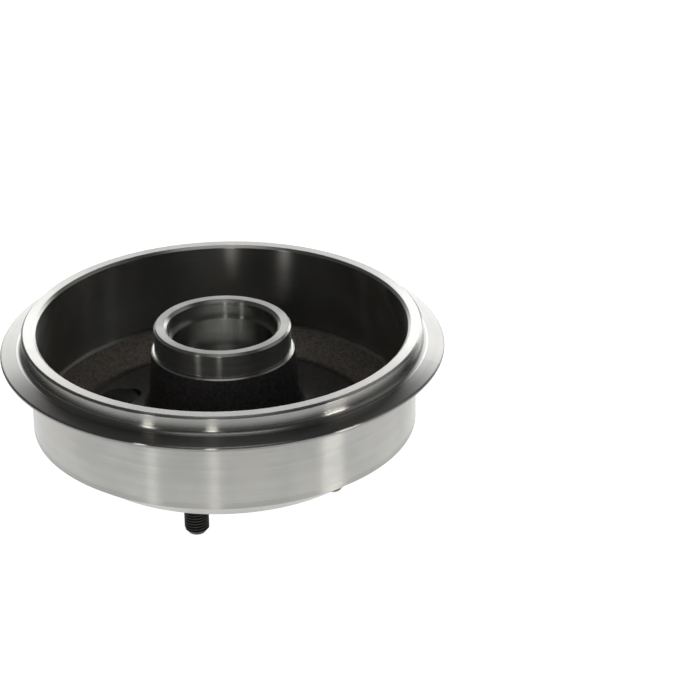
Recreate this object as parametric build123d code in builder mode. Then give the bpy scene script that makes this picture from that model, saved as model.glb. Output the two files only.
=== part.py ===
from build123d import *
import math
import os

# Rear brake drum with an integral wheel hub: one grey-iron casting, turned on the
# friction ring, the wheel face and the hub, with four wheel studs pressed in.
# Millimetres. The origin is the centre of the wheel face, +Z points to the open side.

# --- Friction ring ---------------------------------------------------------------
friction_diameter = 180.0     # braking surface that the shoes press on
drum_depth = 61.8             # wheel face to the rim's end
ring_wall = 3.7               # iron outside the braking surface
mouth_step = 1.4              # lead-in at the mouth, radially
mouth_depth = 1.15            # lead-in at the mouth, along the axis
corner_relief = 0.5           # run-out groove at the inner end of the braking surface
relief_width = 1.6
friction_floor = 18.6         # height of that groove's lower edge above the wheel face

# --- Flange and rim --------------------------------------------------------------
flange_reach = 13.8           # flange lip beyond the barrel
lip_width = 1.8               # cylindrical edge of the flange
lip_drop = 10.2               # rim's end down to the lip's upper edge
flange_rise = 2.2             # slope of the flange's upper side, lip to neck
cove_drop = 5.8               # lip's lower edge down to the foot of the cove
cove_sag = 0.9                # hollow of the cove between barrel and lip
neck_step = 3.3               # neck above the flange, proud of the barrel
neck_fillet = 2.2
rim_chamfer = 1.0
lip_chamfer = 0.4

# --- Wheel face, cone and web ----------------------------------------------------
cone_run = 16.3               # cone between wheel face and barrel, radially
cone_rise = 12.1              # and along the axis
web_thickness = 9.7           # web at its thinnest, where the two slopes meet
valley_inset = 18.0           # that circle, inside the braking surface
web_slope = 0.279             # rise of the inner web for each millimetre inwards
valley_fillet = 5.0

# --- Hub, inner end --------------------------------------------------------------
inner_bearing_diameter = 50.3
inner_bearing_seat = 15.5     # length of the inner bearing's seat
seal_step = 1.85              # oil seal's bore is this much larger in radius
seal_depth = 8.9
hub_recess = 0.6              # hub end below the rim's end
hub_wall = 6.3                # iron around the seal's bore
hub_seat_length = 11.7        # machined seat around the hub end
hub_shoulder = 1.6            # cast boss proud of that seat
shoulder_chamfer = 1.2
boss_draft = 4.4              # degrees of mould draft
boss_foot_fillet = 4.0
hub_end_chamfer = 1.1
seal_mouth_chamfer = 1.45

# --- Hub, outer end: the nose that centres the wheel --------------------------------
spigot_diameter = 63.4
nose_height = 12.9            # nose end beyond the wheel face
nose_chamfer = 1.7
nose_wall = 4.7               # iron around the grease cap's bore
cap_bore_depth = 6.4
cap_mouth_chamfer = 0.4
cap_ledge = 4.38              # grease cap's bore down to the outer bearing's seat
outer_bearing_seat = 15.5
bearing_shoulder = 3.0        # hub's waist inside the smaller bearing seat
foot_ring_reach = 2.4         # raised ring at the foot of the nose
foot_ring_height = 1.9
foot_ring_chamfer = 1.5

# --- Wheel studs, M12 x 1.5 ------------------------------------------------------
stud_count = 4
stud_circle_diameter = 108.0
thread_diameter = 12.0
stud_projection = 23.2        # stud tip beyond the wheel face
tip_diameter = 8.0
tip_length = 2.4
knurl_diameter = 14.2         # ribbed shank that is pressed into the web
knurl_recess = 0.5            # end of the shank short of the wheel face
knurl_chamfer = 0.6
stud_hole_chamfer = 1.0       # around the stud holes' mouths in the wheel face
head_diameter = 19.6
head_thickness = 5.3
head_crown = 2.6              # width of the sloping band around the head's flat top
head_crown_drop = 1.5
spotface_clearance = 0.7      # around the stud head
spotface_depth = 0.4          # below the web at the spot face's outer edge

# --- Radii and heights that follow -----------------------------------------------
friction_radius = friction_diameter / 2
barrel_radius = friction_radius + ring_wall
neck_radius = barrel_radius + neck_step
lip_radius = barrel_radius + flange_reach
face_radius = barrel_radius - cone_run
valley_radius = friction_radius - valley_inset
lip_top = drum_depth - lip_drop
lip_bottom = lip_top - lip_width
cove_foot = lip_bottom - cove_drop
groove_radius = friction_radius + corner_relief
groove_top = friction_floor + relief_width

spigot_radius = spigot_diameter / 2
cap_bore_radius = spigot_radius - nose_wall
outer_bearing_radius = cap_bore_radius - cap_ledge
cap_floor = cap_bore_depth - nose_height
foot_ring_radius = spigot_radius + foot_ring_reach

inner_bearing_radius = inner_bearing_diameter / 2
seal_radius = inner_bearing_radius + seal_step
hub_seat_radius = seal_radius + hub_wall
hub_top = drum_depth - hub_recess
seal_floor = hub_top - seal_depth
inner_bearing_floor = seal_floor - inner_bearing_seat
outer_bearing_floor = cap_floor + outer_bearing_seat
waist_radius = min(inner_bearing_radius, outer_bearing_radius) - bearing_shoulder

shoulder_height = hub_top - hub_seat_length
boss_top_radius = hub_seat_radius + hub_shoulder
boss_top = shoulder_height - shoulder_chamfer
draft_growth = math.tan(math.radians(boss_draft))


def web_height(radius):
    """Height of the web's inner side above the wheel face, inside the friction ring."""
    return web_thickness + web_slope * max(0.0, valley_radius - radius)


# The drafted boss meets the rising web where their two straight lines cross.
boss_foot_radius = (
    boss_top_radius + draft_growth * (boss_top - web_thickness - web_slope * valley_radius)
) / (1 - draft_growth * web_slope)
boss_foot = web_height(boss_foot_radius)

stud_circle_radius = stud_circle_diameter / 2
thread_radius = thread_diameter / 2
knurl_radius = knurl_diameter / 2
head_radius = head_diameter / 2
spotface_radius = head_radius + spotface_clearance
head_seat = web_height(stud_circle_radius + spotface_radius) - spotface_depth
head_top = head_seat + head_thickness


def corner(sketch, radius, height):
    """The outline's corner nearest to a radius and a height."""
    return sketch.vertices().sort_by_distance((radius, height, 0))[0]


# --- Drum casting ------------------------------------------------------------------
with BuildPart() as brake_drum:
    # Half section, turned about the axis: up the outside, down the inside.
    with BuildSketch(Plane.XZ) as section:
        with BuildLine():
            Polyline(
                (0, -nose_height),
                (spigot_radius - nose_chamfer, -nose_height),
                (spigot_radius, nose_chamfer - nose_height),
                (spigot_radius, -foot_ring_height),
                (foot_ring_radius - foot_ring_chamfer, -foot_ring_height),
                (foot_ring_radius, foot_ring_chamfer - foot_ring_height),
                (foot_ring_radius, 0),
                (face_radius, 0),
                (barrel_radius, cone_rise),
                (barrel_radius, cove_foot),
            )
            SagittaArc((barrel_radius, cove_foot), (lip_radius, lip_bottom), cove_sag)
            Polyline(
                (lip_radius, lip_bottom),
                (lip_radius, lip_top),
                (neck_radius, lip_top + flange_rise),
                (neck_radius, drum_depth - rim_chamfer),
                (neck_radius - rim_chamfer, drum_depth),
                (friction_radius + mouth_step, drum_depth),
                (friction_radius, drum_depth - mouth_depth),
                (friction_radius, groove_top),
                (groove_radius, groove_top - corner_relief),
                (groove_radius, friction_floor),
                (valley_radius, web_thickness),
                (boss_foot_radius, boss_foot),
                (boss_top_radius, boss_top),
                (hub_seat_radius, shoulder_height),
                (hub_seat_radius, hub_top - hub_end_chamfer),
                (hub_seat_radius - hub_end_chamfer, hub_top),
                (0, hub_top),
                (0, -nose_height),
            )
        make_face()
        chamfer(corner(section, lip_radius, lip_bottom), lip_chamfer)
        chamfer(corner(section, lip_radius, lip_top), lip_chamfer)
        fillet(corner(section, neck_radius, lip_top + flange_rise), neck_fillet)
        fillet(corner(section, valley_radius, web_thickness), valley_fillet)
        fillet(corner(section, boss_foot_radius, boss_foot), boss_foot_fillet)
    revolve(axis=Axis.Z)

    # Stepped bore through the hub: seal and inner bearing from the open side,
    # grease cap and outer bearing from the nose, and the waist between them.
    with BuildSketch(Plane.XZ):
        with BuildLine():
            Polyline(
                (0, -nose_height),
                (cap_bore_radius + cap_mouth_chamfer, -nose_height),
                (cap_bore_radius, cap_mouth_chamfer - nose_height),
                (cap_bore_radius, cap_floor),
                (outer_bearing_radius, cap_floor),
                (outer_bearing_radius, outer_bearing_floor),
                (waist_radius, outer_bearing_floor),
                (waist_radius, inner_bearing_floor),
                (inner_bearing_radius, inner_bearing_floor),
                (inner_bearing_radius, seal_floor),
                (seal_radius, seal_floor),
                (seal_radius, hub_top - seal_mouth_chamfer),
                (seal_radius + seal_mouth_chamfer, hub_top),
                (0, hub_top),
                (0, -nose_height),
            )
        make_face()
    revolve(axis=Axis.Z, mode=Mode.SUBTRACT)

    # Spot faces that seat the stud heads on the sloping web.
    with BuildSketch(Plane.XY.offset(head_seat)):
        with PolarLocations(stud_circle_radius, stud_count):
            Circle(spotface_radius)
    extrude(amount=drum_depth - head_seat, mode=Mode.SUBTRACT)

    # Stud holes through the web, with their mouths broken on the wheel face.
    with BuildSketch(Plane.XY):
        with PolarLocations(stud_circle_radius, stud_count):
            Circle(knurl_radius)
    extrude(amount=head_seat, mode=Mode.SUBTRACT)
    chamfer(brake_drum.edges(Select.LAST).group_by(Axis.Z)[0], stud_hole_chamfer)

os.makedirs("parts", exist_ok=True)
brake_drum.part.label = "brake_drum"
export_step(brake_drum.part, "parts/brake_drum.step")

# --- Wheel stud ------------------------------------------------------------------
# Head, ribbed shank and thread, turned about the stud's own axis. The shank is pressed
# in line to line, so its crests meet the wall of the hole.
with BuildPart() as stud:
    with BuildSketch(Plane.XZ):
        with BuildLine():
            Polyline(
                (0, -stud_projection),
                (tip_diameter / 2, -stud_projection),
                (thread_radius, tip_length - stud_projection),
                (thread_radius, knurl_recess),
                (knurl_radius - knurl_chamfer, knurl_recess),
                (knurl_radius, knurl_recess + knurl_chamfer),
                (knurl_radius, head_seat),
                (head_radius, head_seat),
                (head_radius, head_top - head_crown_drop),
                (head_radius - head_crown, head_top),
                (0, head_top),
                (0, -stud_projection),
            )
        make_face()
    revolve(axis=Axis.Z)

for number, place in enumerate(PolarLocations(stud_circle_radius, stud_count), start=1):
    with BuildPart() as wheel_stud:
        with Locations(place):
            add(stud.part)
    wheel_stud.part.label = f"wheel_stud_{number}"
    export_step(wheel_stud.part, f"parts/wheel_stud_{number}.step")
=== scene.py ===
import bmesh
import bpy
import math
from mathutils import Matrix, Vector


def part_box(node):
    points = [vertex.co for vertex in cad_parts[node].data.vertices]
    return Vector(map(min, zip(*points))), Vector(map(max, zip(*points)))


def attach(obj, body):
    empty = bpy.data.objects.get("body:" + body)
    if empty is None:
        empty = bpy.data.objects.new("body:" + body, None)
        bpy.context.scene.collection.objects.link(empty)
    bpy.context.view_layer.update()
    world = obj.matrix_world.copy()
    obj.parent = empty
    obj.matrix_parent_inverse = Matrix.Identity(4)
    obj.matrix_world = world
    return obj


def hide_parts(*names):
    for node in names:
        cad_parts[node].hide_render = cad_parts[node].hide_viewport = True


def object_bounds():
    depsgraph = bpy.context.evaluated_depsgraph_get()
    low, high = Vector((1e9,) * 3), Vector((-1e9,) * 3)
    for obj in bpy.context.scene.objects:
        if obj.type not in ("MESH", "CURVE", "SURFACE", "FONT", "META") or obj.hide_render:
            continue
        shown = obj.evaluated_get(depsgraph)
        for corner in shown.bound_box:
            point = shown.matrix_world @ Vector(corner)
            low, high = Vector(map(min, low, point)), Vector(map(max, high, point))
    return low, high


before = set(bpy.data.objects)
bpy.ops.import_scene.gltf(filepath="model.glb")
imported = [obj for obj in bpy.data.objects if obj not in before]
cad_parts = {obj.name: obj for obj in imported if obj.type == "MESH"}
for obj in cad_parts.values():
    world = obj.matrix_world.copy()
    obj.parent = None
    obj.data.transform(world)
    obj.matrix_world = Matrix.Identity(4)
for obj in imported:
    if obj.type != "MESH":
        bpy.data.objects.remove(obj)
cad_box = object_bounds()
scene = bpy.context.scene
scene.view_settings.view_transform = "Standard"
mm = 0.001

# ---------------------------------------------------------------- camera
# A long lens, 1.3 m from the drum, looks down into its open side. It is aimed a little to
# the right of the axis, so that the drum stands left of the middle of the frame.
camera_place = Vector((334.9, -1130.9, 637.8)) * mm
sight_line = Vector((-0.2086, 0.8690, -0.4486))
camera_roll = math.radians(-0.59)
camera_data = bpy.data.cameras.new("camera")
camera_data.sensor_width = 36.0
camera_data.lens = 139.43
camera = bpy.data.objects.new("camera", camera_data)
scene.collection.objects.link(camera)
camera_turn = sight_line.to_track_quat("-Z", "Y").to_matrix().to_4x4()
camera.matrix_world = (
    Matrix.Translation(camera_place) @ camera_turn @ Matrix.Rotation(camera_roll, 4, "Z")
)
scene.camera = camera
camera_azimuth = math.atan2(camera.location.y, camera.location.x)

# ---------------------------------------------------------------- studio
# A wide pale floor under the stud tips, and a white surround behind the drum that fades to a
# dark ceiling, with a pale card on the right and a small lit panel overhead. Of three soft
# lamps one stands by the camera, one on the left, and a low strip on the right.
white = (1, 1, 1, 1)
floor_height = cad_box[0].z
floor_size = 8.0
floor_colour = (0.86, 0.86, 0.86, 1)
floor_level = 0.9             # light added to the floor where it is seen
floor_fade = (0.22, 0.38)     # metres from the axis, where the metal stops mirroring that light
surround_level = 2.55
ceiling_level = 0.09
surround_top = (25, 40)       # degrees up, from where it fades to where it ends
surround_turn = -6.5          # degrees from straight behind the drum, to the right if negative
surround_side = (14, 44)      # degrees to each side of its middle
card_level = 0.3
card_turn = 95                # degrees to the right of the camera's side
card_rise = 28                # degrees up
card_edge = (30, 14)          # degrees from its middle, from where it starts to where it is full
overhead_level = 1.2
overhead_edge = (20, 9)       # degrees from straight up, likewise
lamp_colour = (1.0, 0.97, 0.92)
lamp_aim = Vector((0, 0, 0.02))
lamp_distance = 1.6

floor_mesh = bpy.data.meshes.new("floor")
floor_bm = bmesh.new()
bmesh.ops.create_grid(floor_bm, x_segments=1, y_segments=1, size=floor_size / 2)
bmesh.ops.translate(floor_bm, verts=floor_bm.verts, vec=(0, 0, floor_height))
floor_bm.to_mesh(floor_mesh)
floor_bm.free()
floor = bpy.data.objects.new("floor", floor_mesh)
scene.collection.objects.link(floor)


def node(tree, kind, inputs=None, **settings):
    """Adds a shader node. Each input is given a value, or the output that feeds it."""
    made = tree.nodes.new("ShaderNode" + kind)
    for name, value in settings.items():
        setattr(made, name, value)
    for socket, value in (inputs or {}).items():
        if isinstance(value, bpy.types.NodeSocket):
            tree.links.new(value, made.inputs[socket])
        else:
            made.inputs[socket].default_value = value
    return made


def maths(tree, operation, *terms):
    """One sum on numbers and outputs."""
    return node(tree, "Math", dict(enumerate(terms)), operation=operation).outputs[0]


def vector_maths(tree, operation, *terms, output="Vector"):
    """One sum on vectors and outputs. A length or a dot product is the output Value."""
    made = node(tree, "VectorMath", dict(enumerate(terms)), operation=operation)
    return made.outputs[output]


def fade(tree, value, start, end, low=0.0, high=1.0):
    """Goes smoothly from low to high while a value goes from start to end."""
    sockets = {"Value": value, "From Min": start, "From Max": end, "To Min": low, "To Max": high}
    return node(tree, "MapRange", sockets, interpolation_type="SMOOTHSTEP").outputs[0]


def sines(angles):
    """Sines of angles in degrees."""
    return [math.sin(math.radians(angle)) for angle in angles]


def cosines(angles):
    """Cosines of angles in degrees."""
    return [math.cos(math.radians(angle)) for angle in angles]


def bearing(azimuth, rise):
    """The direction of unit length at an azimuth and an angle above the horizon."""
    level = math.cos(rise)
    return Vector((math.cos(azimuth) * level, math.sin(azimuth) * level, math.sin(rise)))


floor_paint = bpy.data.materials.new("pale floor")
floor_paint.use_nodes = True
tree = floor_paint.node_tree
tree.nodes.clear()
ray = node(tree, "LightPath")
floor_place = node(tree, "TexCoord").outputs["Object"]
floor_reach = vector_maths(tree, "LENGTH", floor_place, output="Value")
floor_lit = fade(tree, floor_reach, *floor_fade, low=1.0, high=0.0)
floor_mirrored = maths(tree, "MULTIPLY", ray.outputs["Is Glossy Ray"], floor_lit)
floor_seen = maths(tree, "MAXIMUM", ray.outputs["Is Camera Ray"], floor_mirrored)
floor_lift = maths(tree, "MULTIPLY", floor_seen, floor_level)
floor_matt = node(tree, "BsdfDiffuse", {"Color": floor_colour})
floor_glow = node(tree, "Emission", {"Color": white, "Strength": floor_lift})
floor_sum = node(tree, "AddShader", {0: floor_matt.outputs[0], 1: floor_glow.outputs[0]})
node(tree, "OutputMaterial", {"Surface": floor_sum.outputs[0]})
floor_mesh.materials.append(floor_paint)

world = bpy.data.worlds.new("studio")
scene.world = world
world.use_nodes = True
tree = world.node_tree
tree.nodes.clear()
sky_way = node(tree, "TexCoord").outputs["Generated"]
upward = node(tree, "SeparateXYZ", {0: sky_way}).outputs["Z"]
level_way = vector_maths(tree, "MULTIPLY", sky_way, (1, 1, 0))
heading = vector_maths(tree, "NORMALIZE", level_way)
surround_azimuth = math.atan2(sight_line.y, sight_line.x) + math.radians(surround_turn)
surround_way = bearing(surround_azimuth, 0.0)
behind = vector_maths(tree, "DOT_PRODUCT", heading, surround_way, output="Value")
low_share = fade(tree, upward, *sines(surround_top), low=1.0, high=0.0)
side_share = fade(tree, behind, *cosines(surround_side), low=1.0, high=0.0)
surround = maths(tree, "MULTIPLY", low_share, side_share)
light = maths(tree, "MULTIPLY_ADD", surround, surround_level - ceiling_level, ceiling_level)
card_way = bearing(camera_azimuth + math.radians(card_turn), math.radians(card_rise))
toward_card = vector_maths(tree, "DOT_PRODUCT", sky_way, card_way, output="Value")
card = fade(tree, toward_card, *cosines(card_edge), high=card_level)
light = maths(tree, "ADD", light, card)
overhead = fade(tree, upward, *cosines(overhead_edge), high=overhead_level)
light = maths(tree, "ADD", light, overhead)
seen = maths(tree, "MAXIMUM", light, node(tree, "LightPath").outputs["Is Camera Ray"])
background = node(tree, "Background", {"Color": white, "Strength": seen})
node(tree, "OutputWorld", {"Surface": background.outputs[0]})


def soft_lamp(name, turn, low, high, width, strength):
    """A soft box, turned from the camera's side by some degrees, to the right if positive.
    It reaches from low to high in degrees above the drum and is width degrees wide."""
    data = bpy.data.lights.new(name, "AREA")
    data.shape = "RECTANGLE"
    data.size = 2 * lamp_distance * math.tan(math.radians(width / 2))
    data.size_y = 2 * lamp_distance * math.tan(math.radians((high - low) / 2))
    data.energy = strength * data.size * data.size_y
    data.color = lamp_colour
    lamp = bpy.data.objects.new(name, data)
    scene.collection.objects.link(lamp)
    away = bearing(camera_azimuth + math.radians(turn), math.radians((low + high) / 2))
    lamp.location = lamp_aim + away * lamp_distance
    lamp.rotation_euler = (-away).to_track_quat("-Z", "Y").to_euler()
    lamp.visible_camera = False


soft_lamp("lamp by the camera", turn=-7, low=-1, high=21, width=4.6, strength=21)
soft_lamp("lamp on the left", turn=-41, low=-1, high=25, width=5.0, strength=20)
soft_lamp("lamp on the right", turn=59.5, low=-1.3, high=2.3, width=13, strength=95)

# ---------------------------------------------------------------- drum casting
# Grey iron, cast with its hub in one piece. Everything that works is turned bright and
# shows the tool's fine rings; the web and the boss inside stay rough, as they were cast.
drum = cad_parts["brake_drum"]
face_radius = 77.4 * mm
barrel_radius = 93.7 * mm
cone_rise = 12.1 * mm
face_depth = 3.0 * mm         # under this lie the wheel face, the cone and the nose
neck_radius = 97.0 * mm
neck_middle = 1.0 * mm        # beyond the neck's radius
neck_reach = 1.6 * mm         # to each side of that
flange_root = 53.0 * mm
flange_start = 2.6 * mm       # beyond the neck's radius
flange_underside = 49.5 * mm
lip_radius = 105.6 * mm
rim_radius = 90.5 * mm
rim_height = 61.6 * mm
hub_end = 61.2 * mm
hub_end_depth = 0.1 * mm
hub_end_radius = 34.0 * mm

# The fillet between flange and neck, and how far its shading reaches: outward from the
# neck's radius and upward from the flange's root.
fillet_radius = 2.2 * mm
fillet_height = 55.59 * mm
fillet_out = 0.85 * mm
fillet_out_reach = 0.92 * mm
fillet_up = 1.5 * mm
fillet_up_reach = 1.1 * mm

# The ledge where the rough boss meets its turned seat, and how far its shading reaches.
ledge_radius = 33.75 * mm
ledge_radius_reach = 0.42 * mm
ledge_height = 49.2 * mm
ledge_height_reach = 0.4 * mm

# The skin that stays as cast, with the valley that runs round the web.
web_edge = 88.9 * mm
bore_edge = 30.0 * mm
boss_top = 48.25 * mm
face_thickness = 4.0 * mm
valley_radius = 72.0 * mm
valley_reach = 3.0 * mm
valley_floor = 0.5 * mm
boss_radius = 38.0 * mm
boss_foot = 3.0 * mm

turned_light = (0.45, 0.455, 0.44, 1)
turned_dark = (0.39, 0.39, 0.375, 1)
turned_warm = (0.45, 0.435, 0.405, 1)
# A dull grey: stains on the hub's end, and painted shade on the flange and its fillet.
turned_dull_and_shade = (0.19, 0.19, 0.185, 1)
# The boss's colour holds painted shade, darker than the web's.
boss_shaded_black = (0.085, 0.08, 0.082, 1)
web_smooth = (0.18, 0.175, 0.167, 1)
web_brown = (0.185, 0.166, 0.143, 1)
# Painted shade for the crease of the valley round the web.
valley_painted_shade = (0.05, 0.046, 0.042, 1)

# Rings, stains and grain per metre, and the spans of noise over which a colour changes.
tool_ring_scale = 2600
wide_ring_scale = 420
stain_scale = 45
tarnish_scale = 22
sand_scale = 1500
shade_span = (0.12, 0.42)
tarnish_span = (0.5, 0.72)
stain_span = (0.35, 0.65)
hub_cover = (0.8, 0.4)        # dull share of the hub's end, from clean to stained
flange_shade_cover = 0.6            # share of painted shade on the flange and its fillet
valley_shade_cover = 0.7            # share of painted shade in the valley
sand_shade = (0.72, 1.3)      # brightness of the cast skin, from pits to grains

edge_softness = 0.3 * mm
lip_softness = 0.7 * mm       # more than that on the lip
bevel_samples = 6
ring_depth = 0.011 * mm
sand_depth = 0.35 * mm
sand_strength = 0.8
turned_roughness = 0.21
ring_roughness = 0.05
hub_stretch = -0.7            # the hub's end stretches its reflections less
quarter_turn = 0.25
cast_metal = 0.8
web_roughness = (0.42, 0.58)  # inside the valley and beyond it
boss_roughness = 0.62


def mixed(tree, share, first, second, data_type="RGBA"):
    """A blend of two colours, vectors or numbers."""
    sockets = {"Factor": share, "A": first, "B": second}
    return node(tree, "Mix", sockets, data_type=data_type).outputs["Result"]


def noise(tree, where, scale, detail, **more):
    """A noise from 0 to 1. More settings are sockets of the noise by name."""
    sockets = {"Vector": where, "Scale": scale, "Detail": detail, **more}
    return node(tree, "TexNoise", sockets).outputs["Fac"]


def both(tree, first, second):
    """The share that two masks have in common."""
    return maths(tree, "MULTIPLY", first, second)


def below(tree, value, limit):
    """A mask of what lies under a limit."""
    return maths(tree, "LESS_THAN", value, limit)


def above(tree, value, limit):
    """A mask of what lies over a limit."""
    return maths(tree, "GREATER_THAN", value, limit)


def near(tree, value, middle, reach):
    """A mask of what lies within reach of a middle."""
    return maths(tree, "COMPARE", value, middle, reach)


# Specks with coarser clumps among them, as a shade and as a height.
clump_scale = 0.3             # against the scale of the specks
clump_share = 0.35
grain_span = (0.38, 0.62)
fine_grain = bpy.data.node_groups.new("fine grain", "ShaderNodeTree")
for socket_name, side, kind in (
    ("Place", "INPUT", "Vector"),
    ("Scale", "INPUT", "Float"),
    ("Shade", "OUTPUT", "Float"),
    ("Height", "OUTPUT", "Float"),
):
    socket_type = "NodeSocket" + kind
    fine_grain.interface.new_socket(socket_name, in_out=side, socket_type=socket_type)
given = fine_grain.nodes.new("NodeGroupInput").outputs
coarse_scale = maths(fine_grain, "MULTIPLY", given["Scale"], clump_scale)
specks = noise(fine_grain, given["Place"], given["Scale"], 3)
clumps = noise(fine_grain, given["Place"], coarse_scale, 2)
grain_height = mixed(fine_grain, clump_share, specks, clumps, "FLOAT")
grain_shade = fade(fine_grain, grain_height, *grain_span)
grain_out = fine_grain.nodes.new("NodeGroupOutput")
fine_grain.links.new(grain_shade, grain_out.inputs["Shade"])
fine_grain.links.new(grain_height, grain_out.inputs["Height"])

drum_iron = bpy.data.materials.new("grey iron")
drum_iron.use_nodes = True
tree = drum_iron.node_tree
tree.nodes.clear()
place = node(tree, "TexCoord").outputs["Object"]
height = node(tree, "SeparateXYZ", {0: place}).outputs["Z"]
level_place = vector_maths(tree, "MULTIPLY", place, (1, 1, 0))
radius = vector_maths(tree, "LENGTH", level_place, output="Value")

# As cast: inside the friction ring, outside the bore, under the boss's seat, above the face.
cone_slope = cone_rise / (barrel_radius - face_radius)
cone_height = maths(tree, "MULTIPLY_ADD", radius, cone_slope, -face_radius * cone_slope)
above_skin = maths(tree, "SUBTRACT", height, maths(tree, "MAXIMUM", cone_height, 0.0))
in_plan = both(tree, below(tree, radius, web_edge), above(tree, radius, bore_edge))
in_height = both(tree, below(tree, height, boss_top), above(tree, above_skin, face_thickness))
as_cast = both(tree, in_plan, in_height)

# The turned zones that differ in colour, roughness or shading.
on_face = below(tree, above_skin, face_depth)
on_neck = both(
    tree,
    near(tree, radius, neck_radius + neck_middle, neck_reach),
    above(tree, height, flange_root),
)
on_flange = both(
    tree,
    above(tree, radius, neck_radius + flange_start),
    above(tree, height, flange_underside),
)
on_fillet = both(
    tree,
    near(tree, radius, neck_radius + fillet_out, fillet_out_reach),
    near(tree, height, flange_root + fillet_up, fillet_up_reach),
)
on_ledge = both(
    tree,
    near(tree, radius, ledge_radius, ledge_radius_reach),
    near(tree, height, ledge_height, ledge_height_reach),
)
on_hub_end = both(
    tree,
    below(tree, radius, hub_end_radius),
    above(tree, height, hub_end - hub_end_depth),
)
on_rim = both(tree, above(tree, radius, rim_radius), above(tree, height, rim_height))
on_lip = above(tree, radius, lip_radius)

# Turned iron: rings of noise that vary with radius and height but not round the drum,
# and slow stains that do. The end of the hub is duller than the rest, in stains; the flange
# and its fillet are darkened with painted shade, for the dark reflections they show.
ring_place = node(tree, "CombineXYZ", {0: radius, 1: height}).outputs[0]
tool_rings = noise(tree, ring_place, tool_ring_scale, 2)
wide_rings = noise(tree, ring_place, wide_ring_scale, 3)
stains = noise(tree, place, stain_scale, 4)
tarnish = noise(tree, place, tarnish_scale, 3, Roughness=0.6)
turned_shade = fade(tree, maths(tree, "MULTIPLY", wide_rings, stains), *shade_span)
turned_colour = mixed(tree, turned_shade, turned_dark, turned_light)
turned_colour = mixed(tree, fade(tree, tarnish, *tarnish_span), turned_colour, turned_warm)
hub_dull = both(tree, on_hub_end, fade(tree, stains, *stain_span, *hub_cover))
turned_colour = mixed(tree, hub_dull, turned_colour, turned_dull_and_shade)
# Painted shade: the flange and its fillet are darkened in colour for their dark reflections.
flange_shade = maths(tree, "MULTIPLY", maths(tree, "MAXIMUM", on_flange, on_fillet), flange_shade_cover)
turned_colour = mixed(tree, flange_shade, turned_colour, turned_dull_and_shade)
roughness = maths(tree, "MULTIPLY_ADD", wide_rings, ring_roughness, turned_roughness)
for zone, rougher in (
    (on_face, 0.05),
    (on_neck, -0.05),
    (on_rim, 0.01),
    (on_fillet, 0.04),
    (on_flange, -0.08),
    (on_hub_end, 0.18),
):
    roughness = maths(tree, "MULTIPLY_ADD", zone, rougher, roughness)

# Edges are softened a little. The fillet is shaded as the true round and the ledge as the
# true flat that they are, since both are too narrow for the mesh to show it.
edge_round = maths(tree, "MULTIPLY_ADD", on_lip, lip_softness, edge_softness)
soft_edges = node(tree, "Bevel", {"Radius": edge_round}, samples=bevel_samples).outputs[0]
fillet_lean = maths(tree, "SUBTRACT", neck_radius + fillet_radius, radius)
fillet_rise = maths(tree, "SUBTRACT", fillet_height, height)
outward = vector_maths(tree, "NORMALIZE", level_place)
lean = {0: outward, "Scale": fillet_lean}
lean_way = node(tree, "VectorMath", lean, operation="SCALE").outputs[0]
rise_way = node(tree, "CombineXYZ", {2: fillet_rise}).outputs[0]
fillet_way = vector_maths(tree, "NORMALIZE", vector_maths(tree, "ADD", lean_way, rise_way))
soft_edges = mixed(tree, on_fillet, soft_edges, fillet_way, "VECTOR")
rings = {"Height": tool_rings, "Distance": ring_depth, "Strength": 1.0, "Normal": soft_edges}
ring_bump = node(tree, "Bump", rings).outputs[0]
ring_bump = mixed(tree, on_ledge, ring_bump, (0, 0, 1), "VECTOR")
turned = node(
    tree,
    "BsdfPrincipled",
    {
        "Base Color": turned_colour,
        "Metallic": 1.0,
        "Roughness": roughness,
        "Anisotropic": maths(tree, "MULTIPLY_ADD", on_hub_end, hub_stretch, 1.0),
        "Anisotropic Rotation": quarter_turn,
        "Tangent": vector_maths(tree, "CROSS_PRODUCT", (0, 0, 1), place),
        "Normal": ring_bump,
    },
)

# Cast skin: sand grain, brown beyond the valley in the web, with painted shade in the valley;
# darkest on the boss, whose colour is painted shade for side walls out of the web's light.
sand = node(tree, "Group", node_tree=fine_grain, inputs={"Place": place, "Scale": sand_scale})
beyond_valley = fade(tree, radius, valley_radius, valley_radius + valley_reach)
off_boss = fade(tree, radius, boss_radius, boss_radius + boss_foot)
from_valley = maths(tree, "ABSOLUTE", maths(tree, "SUBTRACT", radius, valley_radius))
in_valley = fade(tree, from_valley, valley_reach, valley_floor)
web_colour = mixed(tree, beyond_valley, web_smooth, web_brown)
# Painted shade: the valley round the web is darkened, where shade falls in the crease.
valley_shade_share = maths(tree, "MULTIPLY", in_valley, valley_shade_cover)
web_colour = mixed(tree, valley_shade_share, web_colour, valley_painted_shade)
# Painted shade: the boss is coloured darker than the web, for side walls the light misses.
cast_colour = mixed(tree, off_boss, boss_shaded_black, web_colour)
sand_value = fade(tree, sand.outputs["Shade"], 0, 1, *sand_shade)
cast_shade = node(tree, "HueSaturation", {"Value": sand_value, "Color": cast_colour}).outputs[0]
cast_rough = mixed(tree, beyond_valley, *web_roughness, "FLOAT")
cast_rough = mixed(tree, off_boss, boss_roughness, cast_rough, "FLOAT")
sand_bump = node(
    tree,
    "Bump",
    {
        "Height": sand.outputs["Height"],
        "Distance": sand_depth,
        "Strength": sand_strength,
        "Normal": soft_edges,
    },
).outputs[0]
cast = node(
    tree,
    "BsdfPrincipled",
    {
        "Base Color": cast_shade,
        "Metallic": cast_metal,
        "Roughness": cast_rough,
        "Normal": sand_bump,
    },
)
iron = node(tree, "MixShader", {0: as_cast, 1: turned.outputs[0], 2: cast.outputs[0]})
node(tree, "OutputMaterial", {"Surface": iron.outputs[0]})

drum.data.materials.clear()
drum.data.materials.append(drum_iron)
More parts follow.
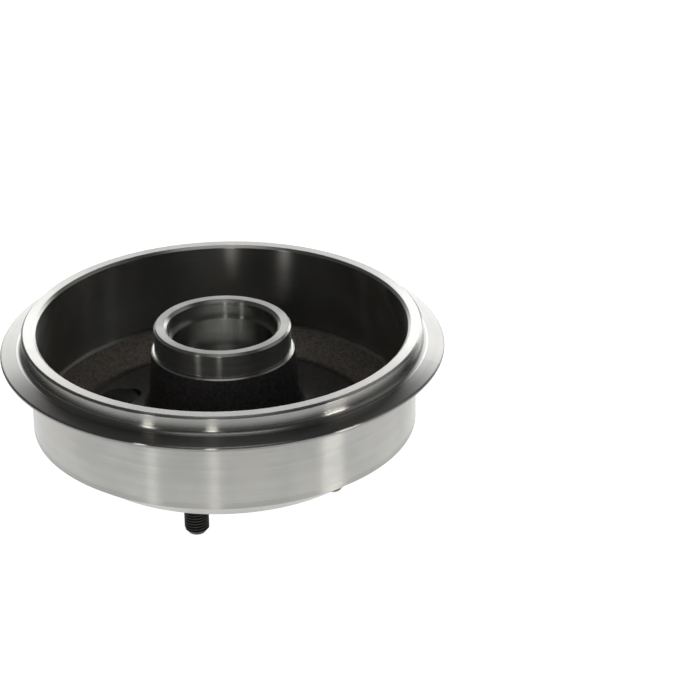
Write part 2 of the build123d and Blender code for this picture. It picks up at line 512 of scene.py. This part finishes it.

# ---------------------------------------------------------------- wheel studs
# M12 x 1.5 steel studs, coated with black phosphate and pressed in from the open side. Each
# has a low round head on the web, a plain shank in the iron, where the real one is ribbed,
# and a rolled thread that starts in the mouth of its hole.
stud_count = 4
stud_circle_radius = 54.0 * mm
thread_pitch = 1.5 * mm
crest_radius = 5.95 * mm
root_radius = 5.05 * mm
rubbed_radius = 5.7 * mm      # from here outward the thread is rubbed, most at the crests
tip_radius = 4.0 * mm
tip_length = 2.4 * mm
shank_radius = 7.1 * mm
shank_end = 0.5 * mm
shank_bevel = 0.6 * mm
head_radius = 9.8 * mm
head_thickness = 5.3 * mm
head_slope = 2.6 * mm
head_slope_drop = 1.5 * mm
thread_steps = 48
body_steps = 72
weld_distance = 1e-6
sharp_angle = math.radians(32)
phosphate_dark = (0.012, 0.012, 0.0125, 1)
phosphate_light = (0.028, 0.027, 0.026, 1)
phosphate_rubbed = (0.07, 0.068, 0.065, 1)
phosphate_metal = 0.4
phosphate_roughness = (0.46, 0.3)     # as coated, and where it is rubbed
crystal_scale = 3200
crystal_depth = 0.08 * mm
crystal_strength = 0.6

stud_black = bpy.data.materials.new("black phosphate")
stud_black.use_nodes = True
tree = stud_black.node_tree
tree.nodes.clear()
place = node(tree, "TexCoord").outputs["Object"]
spread = node(tree, "SeparateXYZ", {0: place})
reach_x = maths(tree, "ABSOLUTE", spread.outputs["X"])
reach_y = maths(tree, "ABSOLUTE", spread.outputs["Y"])
farther = maths(tree, "MAXIMUM", reach_x, reach_y)
sideways = maths(tree, "MINIMUM", reach_x, reach_y)
past_circle = maths(tree, "SUBTRACT", farther, stud_circle_radius)
from_stud = node(tree, "CombineXYZ", {0: past_circle, 1: sideways}).outputs[0]
stud_radius = vector_maths(tree, "LENGTH", from_stud, output="Value")
crystal_sockets = {"Place": place, "Scale": crystal_scale}
crystals = node(tree, "Group", node_tree=fine_grain, inputs=crystal_sockets).outputs
on_thread = below(tree, spread.outputs["Z"], 0.0)
rubbed = both(tree, fade(tree, stud_radius, rubbed_radius, crest_radius), on_thread)
rubbed = both(tree, rubbed, crystals["Shade"])
phosphate = mixed(tree, crystals["Shade"], phosphate_dark, phosphate_light)
phosphate = mixed(tree, rubbed, phosphate, phosphate_rubbed)
crystal_bump = node(
    tree,
    "Bump",
    {"Height": crystals["Height"], "Distance": crystal_depth, "Strength": crystal_strength},
).outputs[0]
stud_shader = node(
    tree,
    "BsdfPrincipled",
    {
        "Base Color": phosphate,
        "Metallic": phosphate_metal,
        "Roughness": mixed(tree, rubbed, *phosphate_roughness, "FLOAT"),
        "Normal": crystal_bump,
    },
)
node(tree, "OutputMaterial", {"Surface": stud_shader.outputs[0]})

# One turn of thread, as shares of the pitch below its start and radii.
thread_outline = ((0, root_radius), (0.2, root_radius), (0.45, crest_radius), (0.6, crest_radius))


def linked(bm, points):
    """A chain of edges through (radius, height) points, ready to be turned."""
    chain = [bm.verts.new((r, 0, z)) for r, z in points]
    return chain + [bm.edges.new(pair) for pair in zip(chain, chain[1:])]


def closed_lathe(bm, outline, steps):
    """Turns an outline of (radius, height) pairs, which starts and ends on the axis."""
    bmesh.ops.spin(
        bm,
        geom=linked(bm, outline),
        axis=(0, 0, 1),
        cent=(0, 0, 0),
        angle=math.tau,
        steps=steps,
        use_merge=True,
    )
    bmesh.ops.remove_doubles(bm, verts=bm.verts, dist=weld_distance)


def thread(bm, top, tip):
    """A right-hand thread between two heights, cut flat at both ends and tapered at the tip."""
    turns = math.ceil((top - tip) / thread_pitch) + 2
    points = []
    for turn in range(turns):
        z = top + thread_pitch * (1 - turn)
        points += [(r, z - share * thread_pitch) for share, r in thread_outline]
    bmesh.ops.spin(
        bm,
        geom=linked(bm, points),
        axis=(0, 0, -1),
        cent=(0, 0, 0),
        dvec=(0, 0, -thread_pitch / thread_steps),
        angle=math.tau,
        steps=thread_steps,
    )
    bmesh.ops.remove_doubles(bm, verts=bm.verts, dist=weld_distance)
    for end, side in ((top, 1), (tip, -1)):
        cut = bmesh.ops.bisect_plane(
            bm,
            geom=bm.verts[:] + bm.edges[:] + bm.faces[:],
            plane_co=(0, 0, end),
            plane_no=(0, 0, side),
            clear_outer=True,
        )
        rim = [e for e in cut["geom_cut"] if isinstance(e, bmesh.types.BMEdge)]
        bmesh.ops.contextual_create(bm, geom=rim)
    for v in bm.verts:
        limit = tip_radius + (v.co.z - tip) * (crest_radius - tip_radius) / tip_length
        reach = v.co.xy.length
        if reach > limit:
            v.co.xy *= limit / reach


for number in range(1, stud_count + 1):
    low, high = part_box(f"wheel_stud_{number}")
    axis_x, axis_y = (low.x + high.x) / 2, (low.y + high.y) / 2
    head_top = high.z
    head_seat = head_top - head_thickness
    body_outline = (
        (0, shank_end),
        (shank_radius - shank_bevel, shank_end),
        (shank_radius, shank_end + shank_bevel),
        (shank_radius, head_seat),
        (head_radius, head_seat),
        (head_radius, head_top - head_slope_drop),
        (head_radius - head_slope, head_top),
        (0, head_top),
    )
    bm = bmesh.new()
    thread(bm, shank_end + shank_bevel, low.z)
    body = bmesh.new()
    closed_lathe(body, body_outline, body_steps)
    body_mesh = bpy.data.meshes.new("stud body")
    body.to_mesh(body_mesh)
    body.free()
    bm.from_mesh(body_mesh)
    bpy.data.meshes.remove(body_mesh)
    bmesh.ops.recalc_face_normals(bm, faces=bm.faces)
    bmesh.ops.translate(bm, verts=bm.verts, vec=(axis_x, axis_y, 0))
    stud_mesh = bpy.data.meshes.new(f"threaded_stud_{number}")
    bm.to_mesh(stud_mesh)
    bm.free()
    stud_mesh.polygons.foreach_set("use_smooth", [True] * len(stud_mesh.polygons))
    stud_mesh.set_sharp_from_angle(angle=sharp_angle)
    stud_mesh.materials.append(stud_black)
    stud = bpy.data.objects.new(f"threaded_stud_{number}", stud_mesh)
    scene.collection.objects.link(stud)
    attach(stud, "root")
    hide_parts(f"wheel_stud_{number}")
